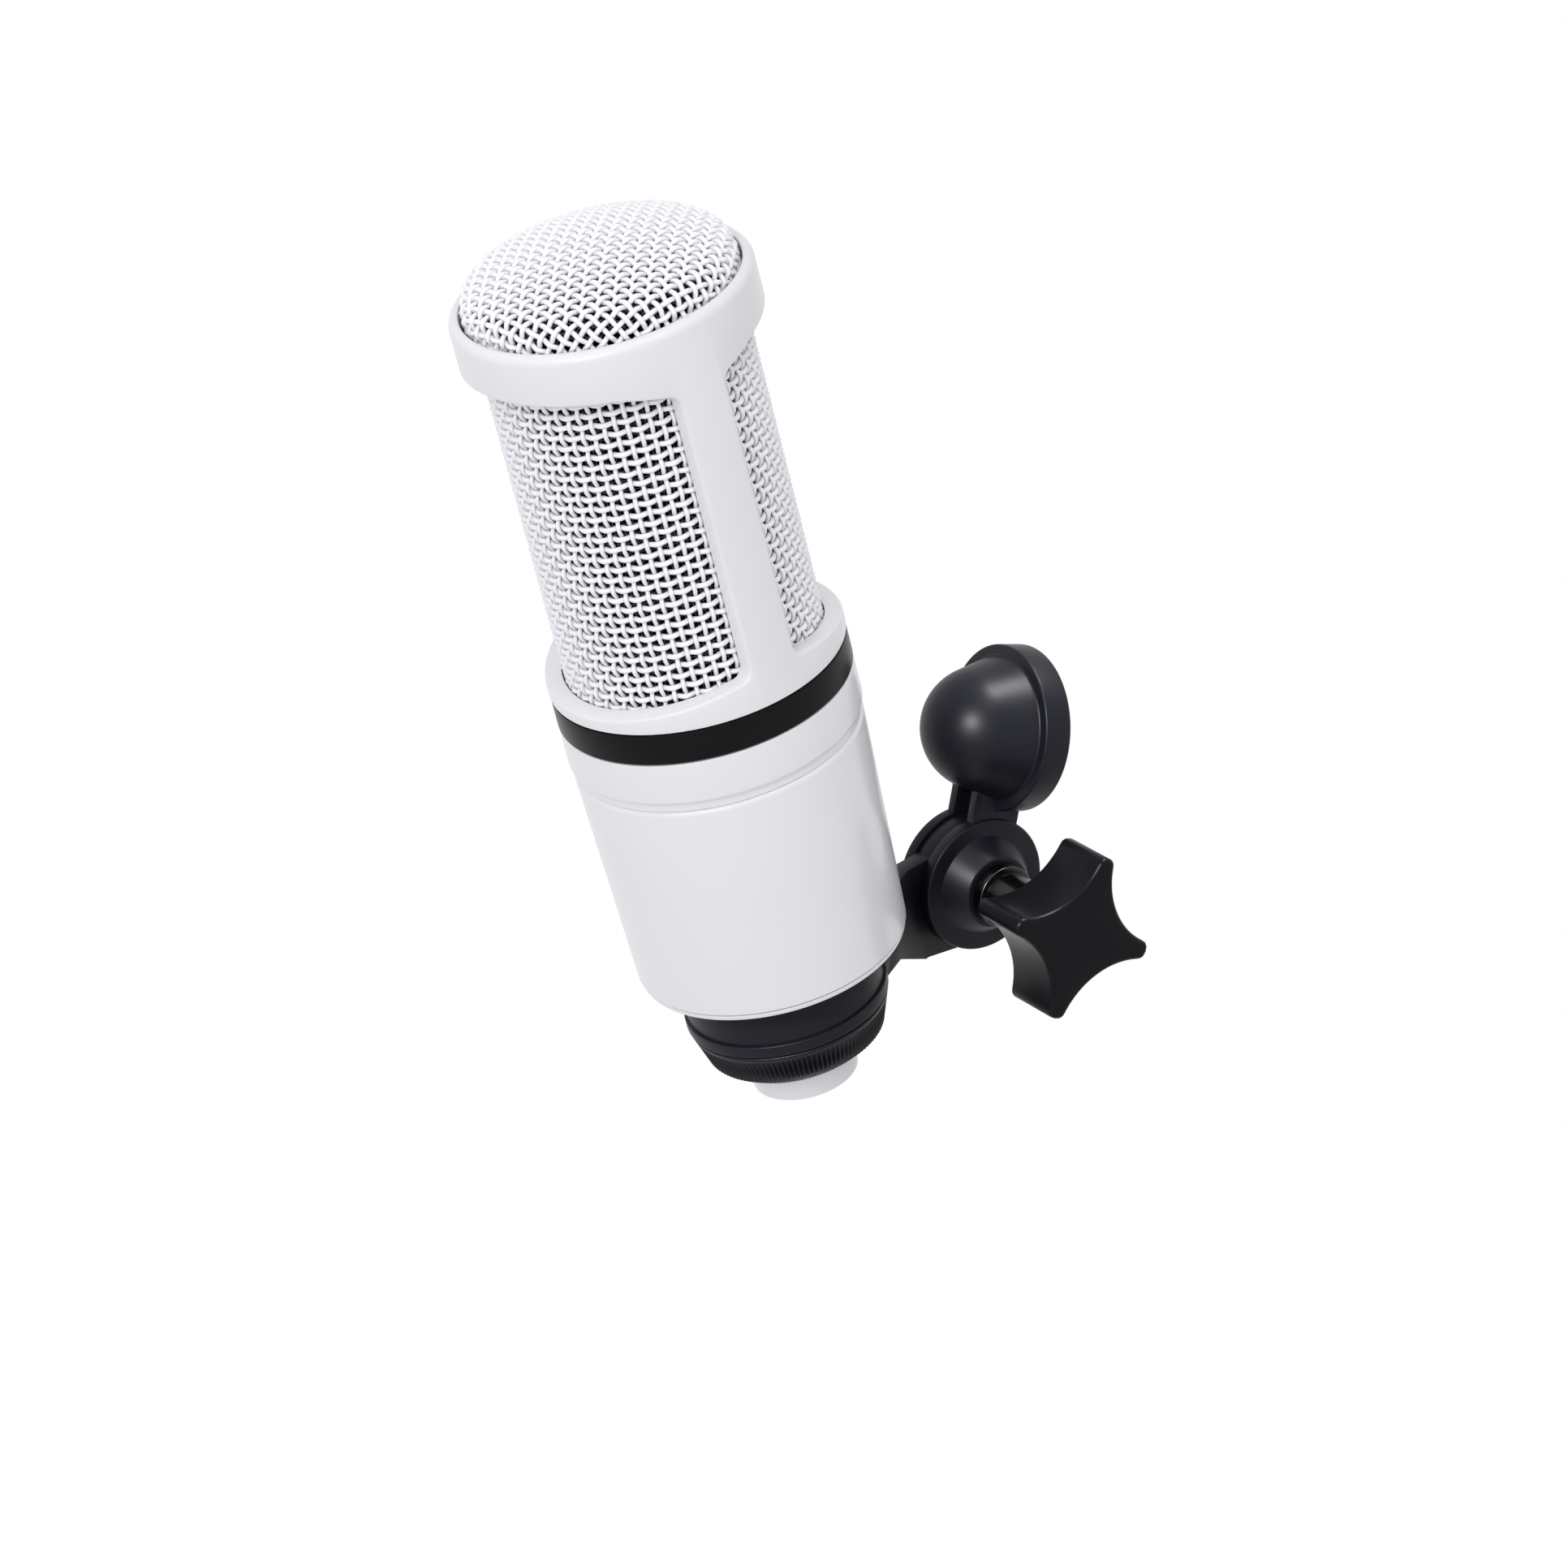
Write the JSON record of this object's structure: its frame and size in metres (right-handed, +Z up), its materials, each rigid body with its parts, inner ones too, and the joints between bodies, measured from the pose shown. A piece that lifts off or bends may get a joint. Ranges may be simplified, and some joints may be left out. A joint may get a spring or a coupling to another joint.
{
  "type": "desktop microphone",
  "caption": "Side-address condenser microphone with a woven-wire head, held in a ring bracket that tilts on a clamped, threaded stand socket.",
  "frame": {"origin": "centre of the stand thread's mouth", "axes": "+Z up along the upright microphone, +X from the microphone to the stand, Y along the tilt hinge with the knob at -Y"},
  "size_m": [0.0902, 0.0605, 0.1628],
  "materials": {
    "white_paint": "gloss white paint on cast metal",
    "white_wire": "white painted woven wire",
    "black_plastic": "satin black moulded plastic",
    "black_trim": "smooth black",
    "black_screen": "fine black screen",
    "plated_steel": "bright plated",
    "brass": "machined",
    "gold_film": "gold-sputtered film",
    "alloy": "as cast",
    "board_green": "solder mask",
    "capacitor_sleeve": "sleeve",
    "insulator": "moulded"
  },
  "bodies": {
    "stand": {"stand_socket": "black_plastic", "thread_insert": "brass", "clamp_nut": "plated_steel"},
    "bracket": {"ring_bracket": "black_plastic"},
    "microphone": {"head_frame": "white_paint", "trim_band": "black_trim", "wall_grille": "white_wire", "dome_grille": "white_wire", "inner_screen": "black_screen", "capsule_deck": "alloy", "capsule_body": "alloy", "capsule_diaphragm": "gold_film", "capsule_saddle": "insulator", "barrel": "white_paint", "base_ring": "white_paint", "chassis_base": "alloy", "chassis_rail_left": "alloy", "chassis_rail_right": "alloy", "circuit_board": "board_green", "coupling_capacitor_1": "capacitor_sleeve", "coupling_capacitor_2": "capacitor_sleeve", "output_shell": "white_paint", "output_insert": "insulator", "output_pin_1": "plated_steel", "output_pin_2": "plated_steel", "output_pin_3": "plated_steel"},
    "lock": {"locking_ring": "black_plastic"},
    "clamp_screw": {"clamp_bolt": "plated_steel"},
    "knob": {"clamp_knob": "black_plastic"}
  },
  "joints": [
    {"name": "tilt", "type": "hinge", "parent": "stand", "child": "bracket", "pos_m": [-0.01704, 0, -0.02236], "axis": [0, 1, 0], "range_deg": [-115, 25]},
    {"name": "swivel", "type": "hinge", "parent": "bracket", "child": "microphone", "pos_m": [-0.05804, 0, -0.01526], "axis": [0, 0, 1], "continuous": true},
    {"name": "lock_turn", "type": "hinge", "parent": "microphone", "child": "lock", "pos_m": [-0.05804, 0, -0.01526], "axis": [0, 0, 1], "continuous": true},
    {"name": "clamp_travel", "type": "slide", "parent": "stand", "child": "clamp_screw", "axis": [0, -1, 0], "range_m": [0, 0.0021]},
    {"name": "clamp_turn", "type": "hinge", "parent": "clamp_screw", "child": "knob", "pos_m": [-0.01704, 0, -0.02236], "axis": [0, -1, 0], "range_deg": [0, 757]}
  ],
  "couplings": [
    {"joint": "clamp_turn", "follows": "clamp_travel", "rad_per_m": 6283.2}
  ]
}
